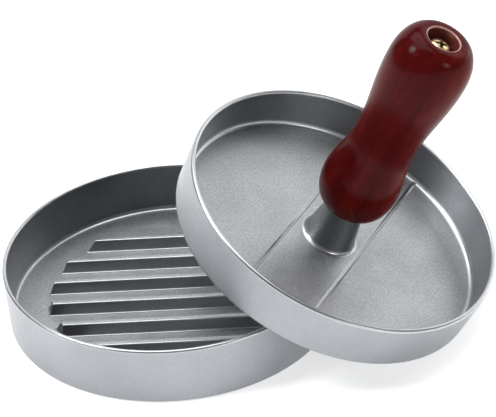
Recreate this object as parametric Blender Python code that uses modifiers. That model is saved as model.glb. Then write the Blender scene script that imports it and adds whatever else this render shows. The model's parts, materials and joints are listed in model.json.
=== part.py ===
"""Patty press: a round cast mould with grill ribs, and a press plate with a turned wooden handle.

The press plate is modelled upright on its own axis and then leaned on the mould's rim, with its low
edge on the table. Units are metres, +Z is up, and the origin is the middle of the mould's underside.
"""
import bmesh
import bpy
from math import cos, pi, radians, sin, sqrt
from mathutils import Matrix, Vector

# Clearances
TOUCH_GAP = 0.0003        # between pieces that touch on the real object
PLATE_FIT = 0.0004        # radial, plate rim in the mould's mouth
SINK = 0.0010             # how far a rib or a cutter reaches past the face it meets

# Mould
MOULD_RADIUS = 0.0600
MOULD_HEIGHT = 0.0220
MOULD_WALL = 0.0016
MOULD_FLOOR = 0.0032
MOULD_OUTER_DRAFT = 0.0008
MOULD_INNER_DRAFT = 0.0006
MOULD_CORNER = 0.0015     # fillet between floor and wall
MOULD_FOOT_EDGE = 0.0010  # round of the lower outer edge

# Grill ribs on the mould's floor
RIB_COUNT = 6
RIB_PITCH = 0.0132
RIB_HEIGHT = 0.0040
RIB_CREST = 0.0020
RIB_FOOT = 0.0050
RIB_RING_RADIUS = 0.0449  # the circle on which the ribs' feet end
RIB_END_DRAFT = 0.0012

# Press plate, a shallow tray
PLATE_HEIGHT = 0.0186
PLATE_WALL = 0.0018
PLATE_FLOOR = 0.0034
PLATE_OUTER_DRAFT = 0.0010
PLATE_INNER_DRAFT = 0.0006
PLATE_CORNER = 0.0016
PLATE_FOOT_EDGE = 0.0012

# Boss in the middle of the plate
BOSS_HEIGHT = 0.0158
BOSS_FOOT_RADIUS = 0.0092
BOSS_TOP_RADIUS = 0.0067
BOSS_FILLET = 0.0014
BOSS_TOP_EDGE = 0.0004

# Two fine grooves right across the plate's floor, one on each side of the boss
LINE_OFFSET = 0.0126
LINE_WIDTH = 0.0012
LINE_DEPTH = 0.0005
LINE_RUN_UP = 0.0005      # how far a groove climbs the fillet at the wall's foot

# Handle
HANDLE_LENGTH = 0.0794
HANDLE_SEAT_RADIUS = 0.0078
HANDLE_BULB_RADIUS = 0.0141
HANDLE_BULB_AT = 0.0118
HANDLE_WAIST_RADIUS = 0.0113
HANDLE_WAIST_AT = 0.0310
HANDLE_HEAD_RADIUS = 0.0145
HANDLE_HEAD_DROP = 0.0134  # from the top down to the head's widest ring
HANDLE_TOP_FLAT_RADIUS = 0.0076
HANDLE_TOP_EDGE = 0.0005

# Screw, washer and the holes that they sit in
SCREW_RADIUS = 0.0020
SCREW_THREAD_IN_BOSS = 0.0100
SCREW_HEAD_RADIUS = 0.0040
SCREW_HEAD_HEIGHT = 0.0029
SCREW_TIP_CHAMFER = 0.0004
RECESS_SPAN = 0.0046
RECESS_WIDTH = 0.0010
RECESS_DEPTH = 0.0016
WASHER_RADIUS = 0.0051
WASHER_HOLE_SPARE = 0.0004  # radial, round the shank
WASHER_THICKNESS = 0.0008
COUNTERBORE_SPARE = 0.0007  # radial, round the washer
COUNTERBORE_DEPTH = 0.0064
SHANK_CLEARANCE = 0.0004
BOSS_HOLE_SPARE = 0.0015  # hole left below the screw's tip

# How the plate leans on the mould
LEAN_ANGLE = radians(27.0)
LEAN_HEADING = radians(-20.3)
LEAN_SIDESTEP = 0.0162    # of the plate's middle, along the mould's rim
PLATE_SPIN = radians(-5.0)

# Facets round a full turn
DISH_STEPS = 72
HANDLE_STEPS = 40
SMALL_STEPS = 32
ARC_STEPS = 4

PLATE_RADIUS = MOULD_RADIUS - MOULD_WALL - PLATE_FIT
PLATE_FLAT_RADIUS = PLATE_RADIUS - PLATE_WALL - PLATE_INNER_DRAFT - PLATE_CORNER
LINE_HALF_LENGTH = sqrt(PLATE_FLAT_RADIUS**2 - LINE_OFFSET**2) + LINE_RUN_UP
BOSS_TOP = PLATE_FLOOR + BOSS_HEIGHT
HANDLE_BASE = BOSS_TOP + TOUCH_GAP
HANDLE_HEAD_AT = HANDLE_LENGTH - HANDLE_HEAD_DROP
COUNTERBORE_RADIUS = WASHER_RADIUS + COUNTERBORE_SPARE
COUNTERBORE_FLOOR = HANDLE_LENGTH - COUNTERBORE_DEPTH
WASHER_HOLE_RADIUS = SCREW_RADIUS + WASHER_HOLE_SPARE
WASHER_BASE = HANDLE_BASE + COUNTERBORE_FLOOR + TOUCH_GAP
HEAD_BASE = WASHER_BASE + WASHER_THICKNESS + TOUCH_GAP


def clear_scene():
    for obj in list(bpy.data.objects):
        bpy.data.objects.remove(obj, do_unlink=True)
    for old in list(bpy.data.collections):
        bpy.data.collections.remove(old)


def new_collection(name):
    made = bpy.data.collections.new(name)
    bpy.context.scene.collection.children.link(made)
    return made


def new_material(name, colour, roughness, metallic):
    made = bpy.data.materials.new(name)
    made.use_nodes = True
    shader = made.node_tree.nodes["Principled BSDF"]
    shader.inputs["Base Color"].default_value = (*colour, 1.0)
    shader.inputs["Roughness"].default_value = roughness
    shader.inputs["Metallic"].default_value = metallic
    made.diffuse_color = (*colour, 1.0)
    return made


def arc(centre_x, centre_z, radius, start, end, steps=ARC_STEPS):
    """Points of a profile's arc, with its angles in degrees from +X towards +Z."""
    points = []
    for i in range(steps + 1):
        angle = radians(start + (end - start) * i / steps)
        points.append((centre_x + radius * cos(angle), centre_z + radius * sin(angle)))
    return points


def ease(low, high, share):
    """A smooth step from low to high, level at both ends."""
    return low + (high - low) * (1 - cos(pi * share)) / 2


def turned(name, profile, steps, closed, material, collection):
    """A profile of (radius, height) points, top to bottom on its outer side, turned about Z."""
    mesh = bpy.data.meshes.new(name)
    count = len(profile)
    edges = [(i, i + 1) for i in range(count - 1)]
    if closed:
        edges.append((count - 1, 0))
    mesh.from_pydata([(x, 0.0, z) for x, z in profile], edges, [])
    obj = bpy.data.objects.new(name, mesh)
    collection.objects.link(obj)
    turn = obj.modifiers.new("turn", "SCREW")
    turn.axis = "Z"
    turn.angle = 2 * pi
    turn.steps = steps
    turn.render_steps = steps
    turn.use_merge_vertices = True
    turn.merge_threshold = 0.00001
    turn.use_smooth_shade = True
    mesh.materials.append(material)
    return obj


def guide(obj):
    """Marks an object that only cuts or joins."""
    obj.hide_render = True
    obj.display_type = "WIRE"
    return obj


def box(name, size, centre, collection, top_scale=(1.0, 1.0)):
    """A guide box, whose top face may be narrower than its base."""
    shape = bmesh.new()
    bmesh.ops.create_cube(shape, size=1.0)
    for vert in shape.verts:
        narrow = top_scale if vert.co.z > 0 else (1.0, 1.0)
        vert.co.x *= size[0] * narrow[0]
        vert.co.y *= size[1] * narrow[1]
        vert.co.z *= size[2]
    mesh = bpy.data.meshes.new(name)
    shape.to_mesh(mesh)
    shape.free()
    obj = bpy.data.objects.new(name, mesh)
    obj.location = centre
    collection.objects.link(obj)
    return guide(obj)


def cone(name, low_radius, high_radius, low, high, steps, collection):
    """A guide frustum about Z from height low to height high."""
    shape = bmesh.new()
    bmesh.ops.create_cone(
        shape, cap_ends=True, segments=steps, radius1=low_radius, radius2=high_radius, depth=high - low
    )
    mesh = bpy.data.meshes.new(name)
    shape.to_mesh(mesh)
    shape.free()
    obj = bpy.data.objects.new(name, mesh)
    obj.location = (0.0, 0.0, (low + high) / 2)
    collection.objects.link(obj)
    return guide(obj)


def combine(obj, other, operation):
    step = obj.modifiers.new(other.name, "BOOLEAN")
    step.operation = operation
    step.object = other
    step.solver = "EXACT"


def tray_profile(radius, height, wall, floor, outer_draft, inner_draft, corner, foot_edge):
    """The section of a round tray, from its floor's middle over the rim to its underside's middle."""
    floor_radius = radius - wall - inner_draft
    foot_radius = radius - outer_draft
    half_wall = wall / 2
    points = [(0.0, floor)]
    points += arc(floor_radius - corner, floor + corner, corner, -90, 0)
    points += arc(radius - half_wall, height - half_wall, half_wall, 180, 0, 8)
    points += arc(foot_radius - foot_edge, foot_edge, foot_edge, 0, -90)
    points.append((0.0, 0.0))
    return points


def make_ribs(tools):
    """The ribs: bars with sloping sides, all ended by one cone."""
    slope = (RIB_FOOT - RIB_CREST) / 2 / RIB_HEIGHT
    low = MOULD_FLOOR - SINK
    high = MOULD_FLOOR + RIB_HEIGHT
    foot = RIB_FOOT + 2 * slope * SINK
    end_slope = RIB_END_DRAFT / RIB_HEIGHT
    ends = cone(
        "rib_ends",
        RIB_RING_RADIUS + 2 * end_slope * SINK,
        RIB_RING_RADIUS - RIB_END_DRAFT - end_slope * SINK,
        low - SINK,
        high + SINK,
        DISH_STEPS,
        tools,
    )
    ribs = []
    for i in range(RIB_COUNT):
        across = (i - (RIB_COUNT - 1) / 2) * RIB_PITCH
        rib = box(
            f"rib_{i + 1}",
            (2 * MOULD_RADIUS, foot, high - low),
            (0.0, across, (low + high) / 2),
            tools,
            (1.0, RIB_CREST / foot),
        )
        combine(rib, ends, "INTERSECT")
        ribs.append(rib)
    return ribs


def make_mould(parts, tools, metal):
    profile = tray_profile(
        MOULD_RADIUS,
        MOULD_HEIGHT,
        MOULD_WALL,
        MOULD_FLOOR,
        MOULD_OUTER_DRAFT,
        MOULD_INNER_DRAFT,
        MOULD_CORNER,
        MOULD_FOOT_EDGE,
    )
    mould = turned("mould_base", profile, DISH_STEPS, False, metal, parts)
    for rib in make_ribs(tools):
        combine(mould, rib, "UNION")
    return mould


def boss_profile():
    """From the bottom of the boss's hole, up and over the boss and down its cone to the plate's floor."""
    hole = SCREW_RADIUS + TOUCH_GAP
    hole_end = BOSS_TOP - SCREW_THREAD_IN_BOSS - BOSS_HOLE_SPARE
    points = [(0.0, hole_end), (hole, hole_end), (hole, BOSS_TOP)]
    points += arc(BOSS_TOP_RADIUS - BOSS_TOP_EDGE, BOSS_TOP - BOSS_TOP_EDGE, BOSS_TOP_EDGE, 90, 0, 3)
    points += arc(BOSS_FOOT_RADIUS + BOSS_FILLET, PLATE_FLOOR + BOSS_FILLET, BOSS_FILLET, 190, 270)
    return points


def make_plate(parts, tools, metal):
    tray = tray_profile(
        PLATE_RADIUS,
        PLATE_HEIGHT,
        PLATE_WALL,
        PLATE_FLOOR,
        PLATE_OUTER_DRAFT,
        PLATE_INNER_DRAFT,
        PLATE_CORNER,
        PLATE_FOOT_EDGE,
    )
    plate = turned("press_plate", boss_profile() + tray[1:], DISH_STEPS, False, metal, parts)
    for side, name in ((-1, "line_left"), (1, "line_right")):
        size = (LINE_WIDTH, 2 * LINE_HALF_LENGTH, 2 * LINE_DEPTH)
        line = box(name, size, (side * LINE_OFFSET, 0.0, PLATE_FLOOR), tools)
        line.parent = plate
        combine(plate, line, "DIFFERENCE")
    return plate


def handle_outline():
    """The handle's outer side from its top edge down to its seat, as (radius, height) points."""
    flat = HANDLE_TOP_FLAT_RADIUS
    rise = HANDLE_LENGTH - HANDLE_HEAD_AT
    points = []
    for i in range(9):
        angle = pi / 2 * i / 8
        radius = flat + (HANDLE_HEAD_RADIUS - flat) * sin(angle)
        points.append((radius, HANDLE_HEAD_AT + rise * cos(angle) ** 0.9))
    for i in range(1, 13):
        share = i / 12
        height = HANDLE_HEAD_AT + (HANDLE_WAIST_AT - HANDLE_HEAD_AT) * share
        points.append((ease(HANDLE_HEAD_RADIUS, HANDLE_WAIST_RADIUS, share), height))
    for i in range(1, 9):
        share = i / 8
        height = HANDLE_WAIST_AT + (HANDLE_BULB_AT - HANDLE_WAIST_AT) * share
        points.append((ease(HANDLE_WAIST_RADIUS, HANDLE_BULB_RADIUS, share), height))
    for i in range(1, 9):
        angle = pi / 2 * i / 8
        radius = HANDLE_SEAT_RADIUS + (HANDLE_BULB_RADIUS - HANDLE_SEAT_RADIUS) * cos(angle)
        points.append((radius, HANDLE_BULB_AT * (1 - sin(angle))))
    return points


def make_handle(parts, wood):
    bore = SCREW_RADIUS + SHANK_CLEARANCE
    edge = HANDLE_TOP_EDGE
    inside = [
        (bore, 0.0),
        (bore, COUNTERBORE_FLOOR),
        (COUNTERBORE_RADIUS, COUNTERBORE_FLOOR),
        (COUNTERBORE_RADIUS, HANDLE_LENGTH - edge),
        (COUNTERBORE_RADIUS + edge, HANDLE_LENGTH),
    ]
    handle = turned("handle", handle_outline() + inside, HANDLE_STEPS, True, wood, parts)
    handle.location.z = HANDLE_BASE
    return handle


def make_washer(parts, brass):
    profile = [
        (WASHER_RADIUS, WASHER_THICKNESS),
        (WASHER_RADIUS, 0.0),
        (WASHER_HOLE_RADIUS, 0.0),
        (WASHER_HOLE_RADIUS, WASHER_THICKNESS),
    ]
    washer = turned("screw_washer", profile, SMALL_STEPS, True, brass, parts)
    washer.location.z = WASHER_BASE
    return washer


def make_screw(parts, tools, brass):
    """A pan-head screw with a cross recess. Its local origin is under the head."""
    tip = BOSS_TOP - SCREW_THREAD_IN_BOSS - HEAD_BASE
    profile = [(0.0, SCREW_HEAD_HEIGHT)]
    for i in range(1, 7):
        angle = pi / 2 * i / 6
        radius = SCREW_HEAD_RADIUS * sin(angle) ** 0.8
        height = SCREW_HEAD_HEIGHT * (0.3 + 0.7 * cos(angle))
        profile.append((radius, height))
    profile += [
        (SCREW_HEAD_RADIUS, 0.0),
        (SCREW_RADIUS, 0.0),
        (SCREW_RADIUS, tip + SCREW_TIP_CHAMFER),
        (SCREW_RADIUS - SCREW_TIP_CHAMFER, tip),
        (0.0, tip),
    ]
    screw = turned("handle_screw", profile, SMALL_STEPS, False, brass, parts)
    screw.location.z = HEAD_BASE
    for name, size in (
        ("recess_x", (RECESS_SPAN, RECESS_WIDTH)),
        ("recess_y", (RECESS_WIDTH, RECESS_SPAN)),
    ):
        slot = box(name, (*size, 2 * RECESS_DEPTH), (0.0, 0.0, SCREW_HEAD_HEIGHT), tools)
        slot.parent = screw
        combine(screw, slot, "DIFFERENCE")
    return screw


def lean_matrix():
    """Places the plate's underside on the mould's rim and its low edge on the table."""
    ahead = Vector((cos(LEAN_HEADING), sin(LEAN_HEADING), 0.0))
    up = Vector((0.0, 0.0, 1.0))
    downhill = ahead * cos(LEAN_ANGLE) - up * sin(LEAN_ANGLE)
    normal = ahead * sin(LEAN_ANGLE) + up * cos(LEAN_ANGLE)
    level = normal.cross(downhill)
    edge_radius = PLATE_RADIUS - PLATE_OUTER_DRAFT - PLATE_FOOT_EDGE
    height = edge_radius * sin(LEAN_ANGLE) + PLATE_FOOT_EDGE * (1 - cos(LEAN_ANGLE))
    rim_round = MOULD_WALL / 2
    rim_radius = MOULD_RADIUS - rim_round
    rim_height = MOULD_HEIGHT - rim_round
    stand_off = rim_round + TOUCH_GAP
    reach = rim_radius + (stand_off - (height - rim_height) * cos(LEAN_ANGLE)) / sin(LEAN_ANGLE)
    middle = ahead * reach + level * LEAN_SIDESTEP + up * height
    turn = Matrix((downhill, level, normal)).transposed().to_4x4()
    return Matrix.Translation(middle) @ turn @ Matrix.Rotation(PLATE_SPIN, 4, "Z")


def build():
    clear_scene()
    parts = new_collection("patty_press")
    tools = new_collection("tools")
    metal = new_material("cast_aluminium", (0.70, 0.71, 0.73), 0.42, 1.0)
    plate_metal = new_material("cast_aluminium_plate", (0.68, 0.69, 0.71), 0.45, 1.0)
    wood = new_material("lacquered_wood", (0.16, 0.022, 0.014), 0.22, 0.0)
    brass = new_material("brass", (0.78, 0.57, 0.36), 0.32, 1.0)
    washer_brass = new_material("washer_brass", (0.70, 0.50, 0.32), 0.40, 1.0)

    make_mould(parts, tools, metal)
    press = bpy.data.objects.new("press_axis", None)
    parts.objects.link(press)
    press.matrix_world = lean_matrix()
    for piece in (
        make_plate(parts, tools, plate_metal),
        make_handle(parts, wood),
        make_washer(parts, washer_brass),
        make_screw(parts, tools, brass),
    ):
        piece.parent = press


build()
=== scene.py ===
"""Patty press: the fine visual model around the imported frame, in metres, +Z up."""
import json
from math import cos, pi, radians, sin, sqrt

import bmesh
import bpy
from mathutils import Matrix, Vector


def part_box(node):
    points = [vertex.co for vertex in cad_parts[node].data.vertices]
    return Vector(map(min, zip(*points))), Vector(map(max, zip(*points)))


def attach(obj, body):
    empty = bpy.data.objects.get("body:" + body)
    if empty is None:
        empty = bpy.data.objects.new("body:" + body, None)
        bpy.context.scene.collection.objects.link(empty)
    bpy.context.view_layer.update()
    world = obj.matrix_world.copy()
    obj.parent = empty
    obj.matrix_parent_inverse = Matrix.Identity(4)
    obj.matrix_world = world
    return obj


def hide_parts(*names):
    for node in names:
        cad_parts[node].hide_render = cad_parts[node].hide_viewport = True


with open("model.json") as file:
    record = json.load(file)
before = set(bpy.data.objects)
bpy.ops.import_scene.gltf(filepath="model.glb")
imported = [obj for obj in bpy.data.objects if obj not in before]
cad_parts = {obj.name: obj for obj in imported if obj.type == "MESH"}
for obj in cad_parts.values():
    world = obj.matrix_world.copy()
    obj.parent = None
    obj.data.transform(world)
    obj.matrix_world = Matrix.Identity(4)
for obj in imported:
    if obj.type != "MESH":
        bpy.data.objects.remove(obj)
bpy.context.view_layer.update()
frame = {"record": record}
MM = 0.001

# Sizes that the frame gives
MOULD_LOW, MOULD_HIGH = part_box("mould_base")
MOULD_RADIUS = (MOULD_HIGH.x - MOULD_LOW.x) / 2
MOULD_HEIGHT = MOULD_HIGH.z
JOINTS = {joint["name"]: joint for joint in frame["record"]["behaviour"]["joints"]}
HANDLE_SEAT = Vector(JOINTS["handle_turn"]["pos_m"])
PRESS_AXIS = Vector(JOINTS["handle_turn"]["axis"]).normalized()

# Mould, in millimetres like every size below
MOULD_WALL = 1.6
MOULD_FLOOR = 3.2
MOULD_OUTER_DRAFT = 0.8
MOULD_INNER_DRAFT = 0.6
MOULD_CORNER = 1.5
MOULD_FOOT_EDGE = 1.0

# Grill ribs
RIB_COUNT = 6
RIB_PITCH = 13.2
RIB_HEIGHT = 4.0
RIB_CREST = 2.0
RIB_FOOT = 5.0
RIB_RING_RADIUS = 44.9
RIB_END_DRAFT = 1.2
RIB_ROOT_FILLET = 0.35
RIB_CREST_ROUND = 0.40
RIB_CORNER_ROUND = 0.45
RIB_SINK = 0.6

# Press plate
PLATE_FIT = 0.4
PLATE_RADIUS = MOULD_RADIUS / MM - MOULD_WALL - PLATE_FIT
PLATE_HEIGHT = 18.6
PLATE_WALL = 1.8
PLATE_FLOOR = 3.4
PLATE_OUTER_DRAFT = 1.0
PLATE_INNER_DRAFT = 0.6
PLATE_CORNER = 1.6
PLATE_FOOT_EDGE = 1.2
PLATE_SPIN = radians(-5.0)

# Boss
BOSS_HEIGHT = 15.8
BOSS_FOOT_RADIUS = 9.2
BOSS_TOP_RADIUS = 6.7
BOSS_FILLET = 1.4
BOSS_TOP_EDGE = 0.4
BOSS_HOLE_RADIUS = 2.3
BOSS_HOLE_DEPTH = 11.5

# The two grooves across the plate's floor
LINE_OFFSET = 12.6
LINE_HALF_LENGTH = 53.4
LINE_HALF_WIDTH = 0.5
LINE_DEPTH = 0.5
LINE_LIP = 0.35
LINE_BOTTOM = 0.08

# Handle
TOUCH_GAP = 0.3
HANDLE_LENGTH = 79.4
HANDLE_SEAT_RADIUS = 7.8
HANDLE_BULB_RADIUS = 14.1
HANDLE_BULB_AT = 11.8
HANDLE_WAIST_RADIUS = 11.3
HANDLE_WAIST_AT = 31.0
HANDLE_HEAD_RADIUS = 14.5
HANDLE_HEAD_AT = 66.0
HANDLE_TOP_FLAT_RADIUS = 7.6
HANDLE_BORE = 2.4
COUNTERBORE_RADIUS = 5.8
COUNTERBORE_DEPTH = 6.4
COUNTERBORE_LIP = 0.5

# Screw and washer
SCREW_RADIUS = 2.0
SCREW_THREAD_IN_BOSS = 10.0
SCREW_HEAD_RADIUS = 4.0
SCREW_HEAD_HEIGHT = 2.9
SCREW_TIP_CHAMFER = 0.4
RECESS_SPAN = 4.6
RECESS_WIDTH = 1.0
RECESS_DEPTH = 1.6
RECESS_TURN = radians(25.0)
WASHER_RADIUS = 5.1
WASHER_HOLE_RADIUS = 2.4
WASHER_THICKNESS = 0.8
WASHER_EDGE = 0.2

BOSS_TOP = PLATE_FLOOR + BOSS_HEIGHT
HANDLE_BASE = BOSS_TOP + TOUCH_GAP
WASHER_BASE = HANDLE_BASE + HANDLE_LENGTH - COUNTERBORE_DEPTH + TOUCH_GAP
HEAD_BASE = WASHER_BASE + WASHER_THICKNESS + TOUCH_GAP

# Facets round a full turn
DISH_TURN = 256
HANDLE_TURN = 144
SMALL_TURN = 96

# Camera
CAMERA_AZIMUTH = radians(-1.92)
CAMERA_DROP = radians(32.95)
CAMERA_ROLL = radians(-3.9)
CAMERA_PLACE = Vector((0.0532, -0.7250, 0.5090))
CAMERA_LENS = 178.0
SENSOR_WIDTH = 36.0


# ---------------------------------------------------------------- meshes

def arc(centre_x, centre_z, radius, start, end, steps=8):
    """Profile points on an arc, with angles in degrees from +X towards +Z."""
    points = []
    for i in range(steps + 1):
        angle = radians(start + (end - start) * i / steps)
        points.append((centre_x + radius * cos(angle), centre_z + radius * sin(angle)))
    return points


def ease(low, high, share):
    """A smooth step from low to high, level at both ends."""
    return low + (high - low) * (1 - cos(pi * share)) / 2


def turn(shape, profile, steps, closed=False, slots=None):
    """Turns (radius, height) points in millimetres about Z. slots gives each profile edge's material."""
    rings = []
    for radius, height in profile:
        if radius < 1e-6:
            rings.append([shape.verts.new((0.0, 0.0, height * MM))])
            continue
        ring = []
        for i in range(steps):
            angle = 2 * pi * i / steps
            ring.append(shape.verts.new((radius * cos(angle) * MM, radius * sin(angle) * MM, height * MM)))
        rings.append(ring)
    pairs = list(zip(rings, rings[1:]))
    if closed:
        pairs.append((rings[-1], rings[0]))
    for index, (upper, lower) in enumerate(pairs):
        for i in range(steps):
            j = (i + 1) % steps
            corners = [upper[i % len(upper)], upper[j % len(upper)], lower[j % len(lower)], lower[i % len(lower)]]
            unique = list(dict.fromkeys(corners))
            if len(unique) < 3:
                continue
            face = shape.faces.new(unique)
            face.smooth = True
            if slots:
                face.material_index = slots[index]


def finish_mesh(name, shape, materials, sharp=35.0):
    """Makes the object, with its faces pointing out and its edges sharp past an angle."""
    bmesh.ops.recalc_face_normals(shape, faces=shape.faces)
    mesh = bpy.data.meshes.new(name)
    shape.to_mesh(mesh)
    shape.free()
    for material in materials:
        mesh.materials.append(material)
    mesh.shade_smooth()
    mesh.set_sharp_from_angle(angle=radians(sharp))
    obj = bpy.data.objects.new(name, mesh)
    bpy.context.scene.collection.objects.link(obj)
    return obj


def cut(obj, cutter):
    """Cuts one object out of another and applies it."""
    step = obj.modifiers.new("cut", "BOOLEAN")
    step.operation = "DIFFERENCE"
    step.solver = "EXACT"
    step.object = cutter
    apply_modifiers(obj)
    bpy.data.objects.remove(cutter, do_unlink=True)


def settle(obj, matrix, body, node):
    """Moves the mesh to its place, weights its normals, ties the piece to its body and hides its CAD node."""
    obj.data.transform(matrix)
    weight_normals(obj)
    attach(obj, body)
    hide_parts(node)


def apply_modifiers(obj):
    bpy.context.view_layer.update()
    graph = bpy.context.evaluated_depsgraph_get()
    mesh = bpy.data.meshes.new_from_object(obj.evaluated_get(graph))
    old = obj.data
    obj.modifiers.clear()
    obj.data = mesh
    bpy.data.meshes.remove(old)


def weight_normals(obj):
    """Lets the large flat faces keep their own direction in the shading."""
    step = obj.modifiers.new("normals", "WEIGHTED_NORMAL")
    step.keep_sharp = True
    step.weight = 100


def extrude_outline(name, outline, half_length, material_index):
    """A closed bar of the given (x, z) outline in millimetres, along Y, to cut with."""
    shape = bmesh.new()
    near = [shape.verts.new((x * MM, -half_length * MM, z * MM)) for x, z in outline]
    far = [shape.verts.new((x * MM, half_length * MM, z * MM)) for x, z in outline]
    shape.faces.new(near)
    shape.faces.new(far[::-1])
    for i in range(len(outline)):
        j = (i + 1) % len(outline)
        shape.faces.new((near[i], far[i], far[j], near[j]))
    for face in shape.faces:
        face.material_index = material_index
    return finish_mesh(name, shape, [])


# ---------------------------------------------------------------- mould

def tray_profile(radius, height, wall, floor, outer_draft, inner_draft, corner, foot_edge):
    """A tray's section from its floor's middle to its underside's middle, and each edge's material.

    Material 0 is the outside, 1 the floor, 2 the inner wall, darker as painted shade, and 3 the rim and the
    corner, lighter as painted highlight.
    """
    floor_radius = radius - wall - inner_draft
    foot_radius = radius - outer_draft
    half_wall = wall / 2
    points = [(0.0, floor)]
    points += arc(floor_radius - corner, floor + corner, corner, -90, 0, 10)
    points += arc(radius - half_wall, height - half_wall, half_wall, 180, 0, 16)
    points += arc(foot_radius - foot_edge, foot_edge, foot_edge, 0, -90, 10)
    points.append((0.0, 0.0))
    slots = [1] + [3] * 10 + [2] + [3] * 16
    slots += [0] * (len(points) - 1 - len(slots))
    return points, slots


def rib_section():
    """The rib's side as (way in from the foot's outline, height) points, rounded at root and crest."""
    slope = (RIB_FOOT - RIB_CREST) / 2
    corners = [(-0.9, -RIB_SINK), (-0.5, 0.0), (0.0, 0.0), (slope, RIB_HEIGHT), (RIB_FOOT / 2, RIB_HEIGHT)]
    points = [corners[0], corners[1]]
    for index, reach in ((2, RIB_ROOT_FILLET), (3, RIB_CREST_ROUND)):
        before, here, after = (Vector(corners[index + k]) for k in (-1, 0, 1))
        first = here + (before - here).normalized() * reach
        last = here + (after - here).normalized() * reach
        for i in range(6):
            t = i / 5
            point = first * (1 - t) ** 2 + here * 2 * t * (1 - t) + last * t ** 2
            points.append((point.x, point.y))
    return points


def rib_outline(across, inset):
    """The rib's outline seen from above, moved in by inset, with its corners rounded."""
    half = RIB_FOOT / 2 - inset
    ring = RIB_RING_RADIUS - inset * RIB_END_DRAFT / ((RIB_FOOT - RIB_CREST) / 2)
    low, high = across - half, across + half
    reach = min(RIB_CORNER_ROUND, 0.45 * 2 * half)
    points = []
    for side in (1, -1):
        y_from, y_to = (low, high) if side == 1 else (high, low)
        ends = []
        for y, toward in ((y_from, y_to), (y_to, y_from)):
            corner = Vector((side * sqrt(ring ** 2 - y ** 2), y))
            along = Vector((-side, 0.0))
            step_y = y + (reach if toward > y else -reach)
            on_arc = Vector((side * sqrt(ring ** 2 - step_y ** 2), step_y))
            ends.append((corner + along * reach, corner, on_arc))
        for order, (on_side, corner, on_arc) in enumerate(ends):
            first, last = (on_side, on_arc) if order == 0 else (on_arc, on_side)
            for i in range(6):
                t = i / 5
                points.append(first * (1 - t) ** 2 + corner * 2 * t * (1 - t) + last * t ** 2)
    return points


def add_rib(shape, across):
    """One rib: loops of its outline, each further in and higher, closed above and below."""
    loops = []
    for inset, height in rib_section():
        z = (MOULD_FLOOR + height) * MM
        loops.append([shape.verts.new((p.x * MM, p.y * MM, z)) for p in rib_outline(across, inset)])
    for lower, upper in zip(loops, loops[1:]):
        rise = upper[0].co.z - lower[0].co.z
        for i in range(len(lower)):
            j = (i + 1) % len(lower)
            face = shape.faces.new((lower[i], lower[j], upper[j], upper[i]))
            # Steep flanks take slot 2, the darker metal, as painted shade on the ribs' faces; root fillet, crest
            # rounding and sunk skirt take slot 3, the lighter metal, as painted highlight.
            face.material_index = 2 if rise > 0.5 * RIB_HEIGHT * MM else 3
    shape.faces.new(loops[-1]).material_index = 1
    shape.faces.new(loops[0][::-1]).material_index = 1


def make_mould(materials):
    shape = bmesh.new()
    points, slots = tray_profile(
        MOULD_RADIUS / MM,
        MOULD_HEIGHT / MM,
        MOULD_WALL,
        MOULD_FLOOR,
        MOULD_OUTER_DRAFT,
        MOULD_INNER_DRAFT,
        MOULD_CORNER,
        MOULD_FOOT_EDGE,
    )
    turn(shape, points, DISH_TURN, slots=slots)
    for i in range(RIB_COUNT):
        add_rib(shape, (i - (RIB_COUNT - 1) / 2) * RIB_PITCH)
    mould = finish_mesh("mould", shape, materials)
    settle(mould, Matrix.Identity(4), "mould", "mould_base")


# ---------------------------------------------------------------- press plate and what it carries

def press_matrix(height=0.0):
    """The press's own frame: Z along its axis, X down the lean, turned by the plate's spin."""
    ahead = Vector((PRESS_AXIS.x, PRESS_AXIS.y, 0.0)).normalized()
    level = Vector((0.0, 0.0, 1.0)).cross(ahead)
    downhill = level.cross(PRESS_AXIS)
    axes = Matrix((downhill, level, PRESS_AXIS)).transposed().to_4x4()
    spin = Matrix.Rotation(PLATE_SPIN, 4, "Z")
    up = Matrix.Translation((0.0, 0.0, (height - HANDLE_BASE) * MM))
    return Matrix.Translation(HANDLE_SEAT) @ axes @ spin @ up


def boss_profile():
    """From the bottom of the boss's hole, up and over the boss and down its cone to the plate's floor."""
    hole_end = BOSS_TOP - BOSS_HOLE_DEPTH
    points = [(0.0, hole_end), (BOSS_HOLE_RADIUS, hole_end), (BOSS_HOLE_RADIUS, BOSS_TOP)]
    points += arc(BOSS_TOP_RADIUS - BOSS_TOP_EDGE, BOSS_TOP - BOSS_TOP_EDGE, BOSS_TOP_EDGE, 90, 10, 8)
    points += arc(BOSS_FOOT_RADIUS + BOSS_FILLET, PLATE_FLOOR + BOSS_FILLET, BOSS_FILLET, 190, 270, 12)
    return points


def groove_section():
    """A rounded V below the plate's floor, with an open top, as (across, height) points."""
    half = LINE_HALF_WIDTH
    lip = arc(half + LINE_LIP, -LINE_LIP, LINE_LIP, 90, 135, 4)
    side = [(half + LINE_LIP, 1.0)] + lip + [(LINE_BOTTOM, -LINE_DEPTH)]
    return [(-x, z) for x, z in side] + side[::-1]


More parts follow.
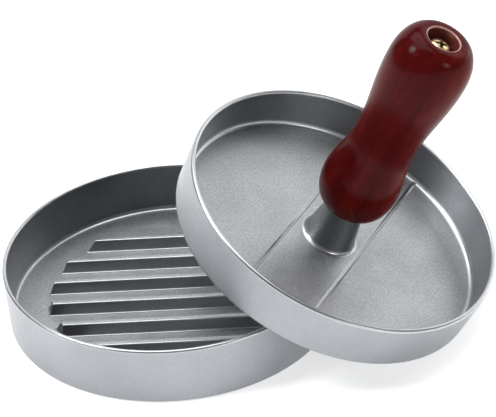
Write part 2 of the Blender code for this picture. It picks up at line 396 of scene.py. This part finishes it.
def make_plate(materials):
    shape = bmesh.new()
    boss = boss_profile()
    tray, tray_slots = tray_profile(
        PLATE_RADIUS,
        PLATE_HEIGHT,
        PLATE_WALL,
        PLATE_FLOOR,
        PLATE_OUTER_DRAFT,
        PLATE_INNER_DRAFT,
        PLATE_CORNER,
        PLATE_FOOT_EDGE,
    )
    # The boss's hole, top and cone take slot 2, the darker metal, as painted shade; its foot fillet takes slot 3,
    # a lighter ring, as painted highlight.
    boss_slots = [2] * (len(boss) - 13) + [3] * 12
    turn(shape, boss + tray[1:], DISH_TURN, slots=boss_slots + tray_slots)
    plate = finish_mesh("plate", shape, materials)
    # The grooves' faces take slot 3, the lighter metal, as painted highlight along the two lines.
    for side in (-1, 1):
        outline = [(x + side * LINE_OFFSET, z + PLATE_FLOOR) for x, z in groove_section()]
        cut(plate, extrude_outline("groove", outline, LINE_HALF_LENGTH, 3))
    plate.data.set_sharp_from_angle(angle=radians(12.0))
    settle(plate, press_matrix(), "press", "press_plate")


def handle_outline():
    """The handle's outer side from its top edge down to its seat."""
    flat = HANDLE_TOP_FLAT_RADIUS
    rise = HANDLE_LENGTH - HANDLE_HEAD_AT
    points = []
    for i in range(25):
        angle = pi / 2 * i / 24
        radius = flat + (HANDLE_HEAD_RADIUS - flat) * sin(angle)
        points.append((radius, HANDLE_HEAD_AT + rise * cos(angle) ** 0.9))
    for i in range(1, 37):
        height = HANDLE_HEAD_AT + (HANDLE_WAIST_AT - HANDLE_HEAD_AT) * i / 36
        points.append((ease(HANDLE_HEAD_RADIUS, HANDLE_WAIST_RADIUS, i / 36), height))
    for i in range(1, 25):
        height = HANDLE_WAIST_AT + (HANDLE_BULB_AT - HANDLE_WAIST_AT) * i / 24
        points.append((ease(HANDLE_WAIST_RADIUS, HANDLE_BULB_RADIUS, i / 24), height))
    for i in range(1, 21):
        angle = pi / 2 * i / 20
        radius = HANDLE_SEAT_RADIUS + (HANDLE_BULB_RADIUS - HANDLE_SEAT_RADIUS) * cos(angle)
        points.append((radius, HANDLE_BULB_AT * (1 - sin(angle))))
    return points


def make_handle(materials):
    shape = bmesh.new()
    outer = handle_outline()
    lip = COUNTERBORE_LIP
    floor = HANDLE_LENGTH - COUNTERBORE_DEPTH
    bore = [(HANDLE_BORE, 0.0), (HANDLE_BORE, floor), (COUNTERBORE_RADIUS - 0.3, floor)]
    bore += arc(COUNTERBORE_RADIUS - 0.3, floor + 0.3, 0.3, -90, 0, 4)[1:]
    edge = arc(COUNTERBORE_RADIUS + lip, HANDLE_LENGTH - lip, lip, 180, 90, 6)
    slots = [0] * (len(outer) - 1) + [2] * (len(bore) + 1) + [1] * (len(edge) - 1) + [0]
    turn(shape, outer + bore + edge, HANDLE_TURN, closed=True, slots=slots)
    handle = finish_mesh("handle_grip", shape, materials, 50.0)
    settle(handle, press_matrix(HANDLE_BASE), "grip", "handle")


def make_washer(materials):
    shape = bmesh.new()
    edge = WASHER_EDGE
    thick = WASHER_THICKNESS
    profile = arc(WASHER_RADIUS - edge, thick - edge, edge, 90, 0, 4)
    profile += arc(WASHER_RADIUS - edge, edge, edge, 0, -90, 4)
    profile += arc(WASHER_HOLE_RADIUS + edge, edge, edge, -90, -180, 4)
    profile += arc(WASHER_HOLE_RADIUS + edge, thick - edge, edge, 180, 90, 4)
    turn(shape, profile, SMALL_TURN, closed=True)
    washer = finish_mesh("washer", shape, materials)
    settle(washer, press_matrix(WASHER_BASE), "fastener", "screw_washer")


def cross_outline(span, width):
    """The cross recess's outline, with its inner corners drawn out a little."""
    half = span / 2
    arm = width / 2
    heart = arm * 1.35
    points = []
    for quarter in range(4):
        turned_by = Matrix.Rotation(quarter * pi / 2, 2)
        for x, y in ((half, -arm), (half, arm), (heart, heart)):
            points.append(turned_by @ Vector((x, y)))
    return points


def recess_cutter():
    """A tapered cross, wide above the head and narrow at the recess's floor."""
    shape = bmesh.new()
    levels = (
        (0.6, RECESS_SPAN * 1.12, RECESS_WIDTH * 1.15),
        (0.0, RECESS_SPAN, RECESS_WIDTH),
        (-RECESS_DEPTH * 0.75, RECESS_SPAN * 0.55, RECESS_WIDTH * 0.8),
        (-RECESS_DEPTH, RECESS_SPAN * 0.25, RECESS_WIDTH * 0.5),
    )
    loops = []
    for height, span, width in levels:
        z = (SCREW_HEAD_HEIGHT + height) * MM
        loops.append([shape.verts.new((p.x * MM, p.y * MM, z)) for p in cross_outline(span, width)])
    for upper, lower in zip(loops, loops[1:]):
        for i in range(len(upper)):
            j = (i + 1) % len(upper)
            shape.faces.new((upper[i], upper[j], lower[j], lower[i]))
    shape.faces.new(loops[0])
    shape.faces.new(loops[-1])
    # The recess's faces take slot 1, the screw's dark recess colour: painted shade inside the cross.
    for face in shape.faces:
        face.material_index = 1
    return finish_mesh("recess", shape, [])


def make_screw(materials):
    shape = bmesh.new()
    tip = BOSS_TOP - SCREW_THREAD_IN_BOSS - HEAD_BASE
    profile = [(0.0, SCREW_HEAD_HEIGHT)]
    for i in range(1, 21):
        angle = pi / 2 * i / 20
        radius = SCREW_HEAD_RADIUS * sin(angle) ** 0.8
        profile.append((radius, SCREW_HEAD_HEIGHT * (0.3 + 0.7 * cos(angle))))
    profile += arc(SCREW_HEAD_RADIUS - 0.15, 0.15, 0.15, 0, -90, 4)
    profile += [
        (SCREW_RADIUS, 0.0),
        (SCREW_RADIUS, tip + SCREW_TIP_CHAMFER),
        (SCREW_RADIUS - SCREW_TIP_CHAMFER, tip),
        (0.0, tip),
    ]
    turn(shape, profile, SMALL_TURN)
    screw = finish_mesh("screw", shape, materials)
    cut(screw, recess_cutter())
    soften = screw.modifiers.new("soften", "BEVEL")
    soften.width = 0.08 * MM
    soften.segments = 2
    soften.limit_method = "ANGLE"
    soften.angle_limit = radians(40)
    apply_modifiers(screw)
    screw.data.set_sharp_from_angle(angle=radians(40.0))
    turned_by = Matrix.Rotation(RECESS_TURN, 4, "Z")
    settle(screw, press_matrix(HEAD_BASE) @ turned_by, "fastener", "handle_screw")


# ---------------------------------------------------------------- materials

class Nodes:
    """A short way to add and link shader nodes, with coordinates along the piece's own frame."""

    def __init__(self, name, frame_matrix=None):
        self.matrix = frame_matrix or Matrix.Identity(4)
        self.material = bpy.data.materials.new(name)
        self.material.use_nodes = True
        self.tree = self.material.node_tree
        self.shader = self.tree.nodes["Principled BSDF"]

    def add(self, kind, **values):
        node = self.tree.nodes.new(kind)
        for key, value in values.items():
            if key in node.inputs:
                node.inputs[key].default_value = value
            else:
                setattr(node, key, value)
        return node

    def link(self, source, target):
        self.tree.links.new(source, target)

    def place(self, stretch=(1.0, 1.0, 1.0)):
        """Coordinates fixed to the piece, drawn out along its own axes by the stretch."""
        coordinates = self.add("ShaderNodeTexCoord")
        mapping = self.add("ShaderNodeMapping", vector_type="TEXTURE")
        mapping.inputs["Location"].default_value = self.matrix.to_translation()
        mapping.inputs["Rotation"].default_value = self.matrix.to_euler()
        mapping.inputs["Scale"].default_value = stretch
        self.link(coordinates.outputs["Object"], mapping.inputs["Vector"])
        return mapping.outputs["Vector"]

    def noise(self, place, scale, detail=3.0, roughness=0.5, distortion=0.0):
        node = self.add(
            "ShaderNodeTexNoise", Scale=scale, Detail=detail, Roughness=roughness, Distortion=distortion
        )
        self.link(place, node.inputs["Vector"])
        return node.outputs["Fac"]

    def spread(self, value, low, high, to_low, to_high):
        node = self.add("ShaderNodeMapRange")
        self.link(value, node.inputs["Value"])
        node.inputs["From Min"].default_value = low
        node.inputs["From Max"].default_value = high
        node.inputs["To Min"].default_value = to_low
        node.inputs["To Max"].default_value = to_high
        return node.outputs["Result"]

    def ramp(self, value, stops):
        node = self.add("ShaderNodeValToRGB")
        band = node.color_ramp
        while len(band.elements) < len(stops):
            band.elements.new(0.5)
        for element, (position, colour) in zip(band.elements, stops):
            element.position = position
            element.color = (*colour, 1.0)
        self.link(value, node.inputs["Fac"])
        return node.outputs["Color"]

    def mix(self, share, first, second, blend="MIX"):
        node = self.add("ShaderNodeMix", data_type="RGBA", blend_type=blend)
        if isinstance(share, float):
            node.inputs["Factor"].default_value = share
        else:
            self.link(share, node.inputs["Factor"])
        self.link(first, node.inputs["A"])
        if isinstance(second, tuple):
            node.inputs["B"].default_value = (*second, 1.0)
        else:
            self.link(second, node.inputs["B"])
        return node.outputs["Result"]

    def bump(self, height, strength, distance, onto=None):
        node = self.add("ShaderNodeBump", Strength=strength, Distance=distance)
        self.link(height, node.inputs["Height"])
        if onto is not None:
            self.link(onto, node.inputs["Normal"])
        return node.outputs["Normal"]


def cast_metal(name, dark, light, roughness, grain, matrix):
    """Blasted cast aluminium: a fine grain, soft cloudy tone and slightly uneven gloss."""
    n = Nodes(name, matrix)
    place = n.place()
    pits = n.noise(place, 1500.0, 3.0, 0.6)
    blotches = n.noise(place, 420.0, 3.0, 0.6)
    cloud = n.noise(place, 38.0, 4.0, 0.55)
    tone = n.ramp(cloud, [(0.30, dark), (0.72, light)])
    low = 1.0 - grain
    pit_tone = n.ramp(pits, [(0.35, (low, low, low)), (0.62, (1.0, 1.0, 1.0))])
    n.link(n.mix(1.0, tone, pit_tone, "MULTIPLY"), n.shader.inputs["Base Color"])
    n.link(n.spread(blotches, 0.3, 0.7, roughness + 0.04, roughness - 0.04), n.shader.inputs["Roughness"])
    n.shader.inputs["Metallic"].default_value = 1.0
    waves = n.bump(cloud, 0.10, 0.0006)
    rough = n.bump(blotches, 0.6, 0.00012 * grain, waves)
    n.link(n.bump(pits, 0.8, 0.00012 * grain, rough), n.shader.inputs["Normal"])
    return n.material


def lacquered_wood(name, matrix):
    """Dark red-brown stained wood with grain along the handle, under clear lacquer."""
    n = Nodes(name, matrix)
    grain = n.noise(n.place((1.0, 1.0, 14.0)), 260.0, 4.0, 0.55, 0.4)
    pores = n.noise(n.place((1.0, 1.0, 7.0)), 1500.0, 2.0, 0.5)
    cloud = n.noise(n.place((1.0, 1.0, 2.0)), 55.0, 3.0, 0.5)
    stain = n.ramp(
        grain,
        [(0.30, (0.046, 0.0022, 0.0024)), (0.52, (0.064, 0.0034, 0.0032)), (0.75, (0.090, 0.0054, 0.0042))],
    )
    pore_tone = n.ramp(pores, [(0.28, (0.75, 0.74, 0.74)), (0.40, (1.0, 1.0, 1.0))])
    tone = n.mix(1.0, stain, pore_tone, "MULTIPLY")
    warm = n.ramp(cloud, [(0.48, (0.0, 0.0, 0.0)), (0.75, (0.050, 0.0070, 0.0018))])
    n.link(n.mix(1.0, tone, warm, "ADD"), n.shader.inputs["Base Color"])
    n.link(n.spread(cloud, 0.3, 0.7, 0.42, 0.34), n.shader.inputs["Roughness"])
    n.shader.inputs["Specular IOR Level"].default_value = 0.0
    n.shader.inputs["Coat Weight"].default_value = 0.6
    n.shader.inputs["Coat Roughness"].default_value = 0.18
    n.shader.inputs["Coat IOR"].default_value = 1.2
    dust = n.noise(n.place(), 900.0, 2.0, 0.5)
    runs = n.bump(n.noise(n.place((1.0, 1.0, 2.0)), 130.0, 3.0, 0.5), 0.35, 0.0005)
    n.link(n.bump(grain, 0.15, 0.00006, runs), n.shader.inputs["Normal"])
    n.link(n.bump(dust, 0.40, 0.00012, runs), n.shader.inputs["Coat Normal"])
    return n.material


def cut_wood(name, dark, light, matrix):
    """Wood where a cutter has been, with thin lacquer over it; also the paler pink ring on the counterbore's lip.
    """
    n = Nodes(name, matrix)
    noise = n.noise(n.place(), 900.0, 4.0, 0.6)
    n.link(n.ramp(noise, [(0.30, dark), (0.70, light)]), n.shader.inputs["Base Color"])
    n.link(n.spread(noise, 0.3, 0.7, 0.5, 0.38), n.shader.inputs["Roughness"])
    n.shader.inputs["Coat Weight"].default_value = 0.5
    n.shader.inputs["Coat Roughness"].default_value = 0.2
    n.link(n.bump(noise, 0.5, 0.0001), n.shader.inputs["Normal"])
    return n.material


def plated(name, dark, light, roughness, matrix):
    """Plated brass with a little tarnish and fine scuffs; in dark colours it gives the cross recess painted
    shade.
    """
    n = Nodes(name, matrix)
    cloud = n.noise(n.place(), 700.0, 4.0, 0.6)
    scuffs = n.noise(n.place((1.0, 8.0, 1.0)), 3500.0, 2.0, 0.5)
    n.link(n.ramp(cloud, [(0.30, dark), (0.65, light)]), n.shader.inputs["Base Color"])
    n.link(n.spread(cloud, 0.3, 0.7, roughness + 0.12, roughness), n.shader.inputs["Roughness"])
    n.shader.inputs["Metallic"].default_value = 1.0
    n.link(n.bump(scuffs, 0.2, 0.00003), n.shader.inputs["Normal"])
    return n.material


def glowing_pale_floor(name):
    """Matt white paper with a barely visible tooth, which also glows a little: painted light that lifts the
    shadows on it and lights the pieces from below.
    """
    n = Nodes(name)
    tooth = n.noise(n.place(), 300.0, 3.0, 0.5)
    n.link(n.ramp(tooth, [(0.3, (0.86, 0.86, 0.86)), (0.7, (0.88, 0.88, 0.88))]), n.shader.inputs["Base Color"])
    n.shader.inputs["Roughness"].default_value = 0.8
    n.shader.inputs["Specular IOR Level"].default_value = 0.1
    # Emission: painted light in the floor, though it is no lamp.
    n.shader.inputs["Emission Color"].default_value = (1.0, 1.0, 1.0, 1.0)
    n.shader.inputs["Emission Strength"].default_value = 0.60
    return n.material


# ---------------------------------------------------------------- stage

def make_camera():
    data = bpy.data.cameras.new("camera")
    data.lens = CAMERA_LENS
    data.sensor_width = SENSOR_WIDTH
    data.clip_start = 0.01
    data.clip_end = 20.0
    camera = bpy.data.objects.new("camera", data)
    bpy.context.scene.collection.objects.link(camera)
    ahead = Vector(
        (
            sin(CAMERA_AZIMUTH) * cos(CAMERA_DROP),
            cos(CAMERA_AZIMUTH) * cos(CAMERA_DROP),
            -sin(CAMERA_DROP),
        )
    )
    right = Vector((cos(CAMERA_AZIMUTH), -sin(CAMERA_AZIMUTH), 0.0))
    up = right.cross(ahead)
    rolled_right = right * cos(CAMERA_ROLL) + up * sin(CAMERA_ROLL)
    rolled_up = up * cos(CAMERA_ROLL) - right * sin(CAMERA_ROLL)
    axes = Matrix((rolled_right, rolled_up, -ahead)).transposed().to_4x4()
    camera.matrix_world = Matrix.Translation(CAMERA_PLACE) @ axes
    bpy.context.scene.camera = camera


def area_light(name, place, target, width, height, power, colour=(1.0, 1.0, 1.0)):
    data = bpy.data.lights.new(name, "AREA")
    data.shape = "RECTANGLE"
    data.size = width
    data.size_y = height
    data.energy = power
    data.color = colour
    light = bpy.data.objects.new(name, data)
    bpy.context.scene.collection.objects.link(light)
    light.location = place
    light.rotation_euler = (Vector(target) - Vector(place)).to_track_quat("-Z", "Y").to_euler()
    return light


def make_stage():
    shape = bmesh.new()
    bmesh.ops.create_grid(shape, x_segments=1, y_segments=1, size=4.0)
    floor = finish_mesh("floor", shape, [glowing_pale_floor("glowing_pale_floor")])
    floor.location.z = -0.0002
    world = bpy.data.worlds.new("studio")
    world.use_nodes = True
    background = world.node_tree.nodes["Background"]
    background.inputs["Color"].default_value = (1.0, 1.0, 1.0, 1.0)
    background.inputs["Strength"].default_value = 0.13
    bpy.context.scene.world = world
    bpy.context.scene.view_settings.view_transform = "Standard"
    middle = (0.03, 0.0, 0.02)
    area_light("top_softbox", (0.0, 0.3, 1.5), middle, 1.5, 1.3, 22.0)
    area_light("back_panel", (-0.3, 1.6, 0.6), middle, 1.8, 1.2, 10.0)
    area_light("back_right_panel", (1.1, 1.15, 0.6), middle, 1.4, 1.2, 9.0)
    area_light("right_strip", (1.4, 0.75, 0.2), middle, 1.0, 0.25, 1.6)
    area_light("left_key", (-1.0, -0.2, 1.25), middle, 0.35, 0.5, 12.0)
    area_light("right_kicker", (1.1, -1.0, 0.6), middle, 0.35, 0.35, 3.5)


make_camera()
make_stage()
press = press_matrix()
for maker, where, matrix in ((make_mould, "mould", Matrix.Identity(4)), (make_plate, "plate", press)):
    maker(
        [
            cast_metal(f"{where}_outside", (0.30, 0.315, 0.335), (0.35, 0.365, 0.385), 0.38, 0.08, matrix),
            cast_metal(f"{where}_floor", (0.38, 0.395, 0.41), (0.49, 0.505, 0.52), 0.46, 0.30, matrix),
            # A darker copy of the metal for the inner walls, rib flanks and boss: painted shade.
            cast_metal(f"{where}_shaded_inside", (0.24, 0.245, 0.255), (0.30, 0.305, 0.315), 0.34, 0.15, matrix),
            # A lighter, glossier copy of the metal for rims, corners, rib roots and crests and the grooves:
            # painted highlight.
            cast_metal(f"{where}_edge", (0.42, 0.435, 0.45), (0.52, 0.535, 0.55), 0.33, 0.12, matrix),
        ]
    )
make_handle(
    [
        lacquered_wood("handle_lacquer", press),
        # A paler pink ring on the counterbore's rounded lip.
        cut_wood("pale_pink_lip", (0.30, 0.12, 0.10), (0.50, 0.26, 0.22), press),
        cut_wood("counterbore", (0.060, 0.006, 0.005), (0.160, 0.020, 0.014), press),
    ]
)
make_washer([plated("washer_plating", (0.36, 0.22, 0.12), (0.62, 0.42, 0.25), 0.38, press)])
make_screw(
    [
        plated("screw_plating", (0.62, 0.44, 0.22), (0.92, 0.74, 0.48), 0.22, press),
        # Dark brass for the cross recess: painted shade inside it.
        plated("recess_painted_shade", (0.10, 0.06, 0.03), (0.22, 0.14, 0.07), 0.40, press),
    ]
)
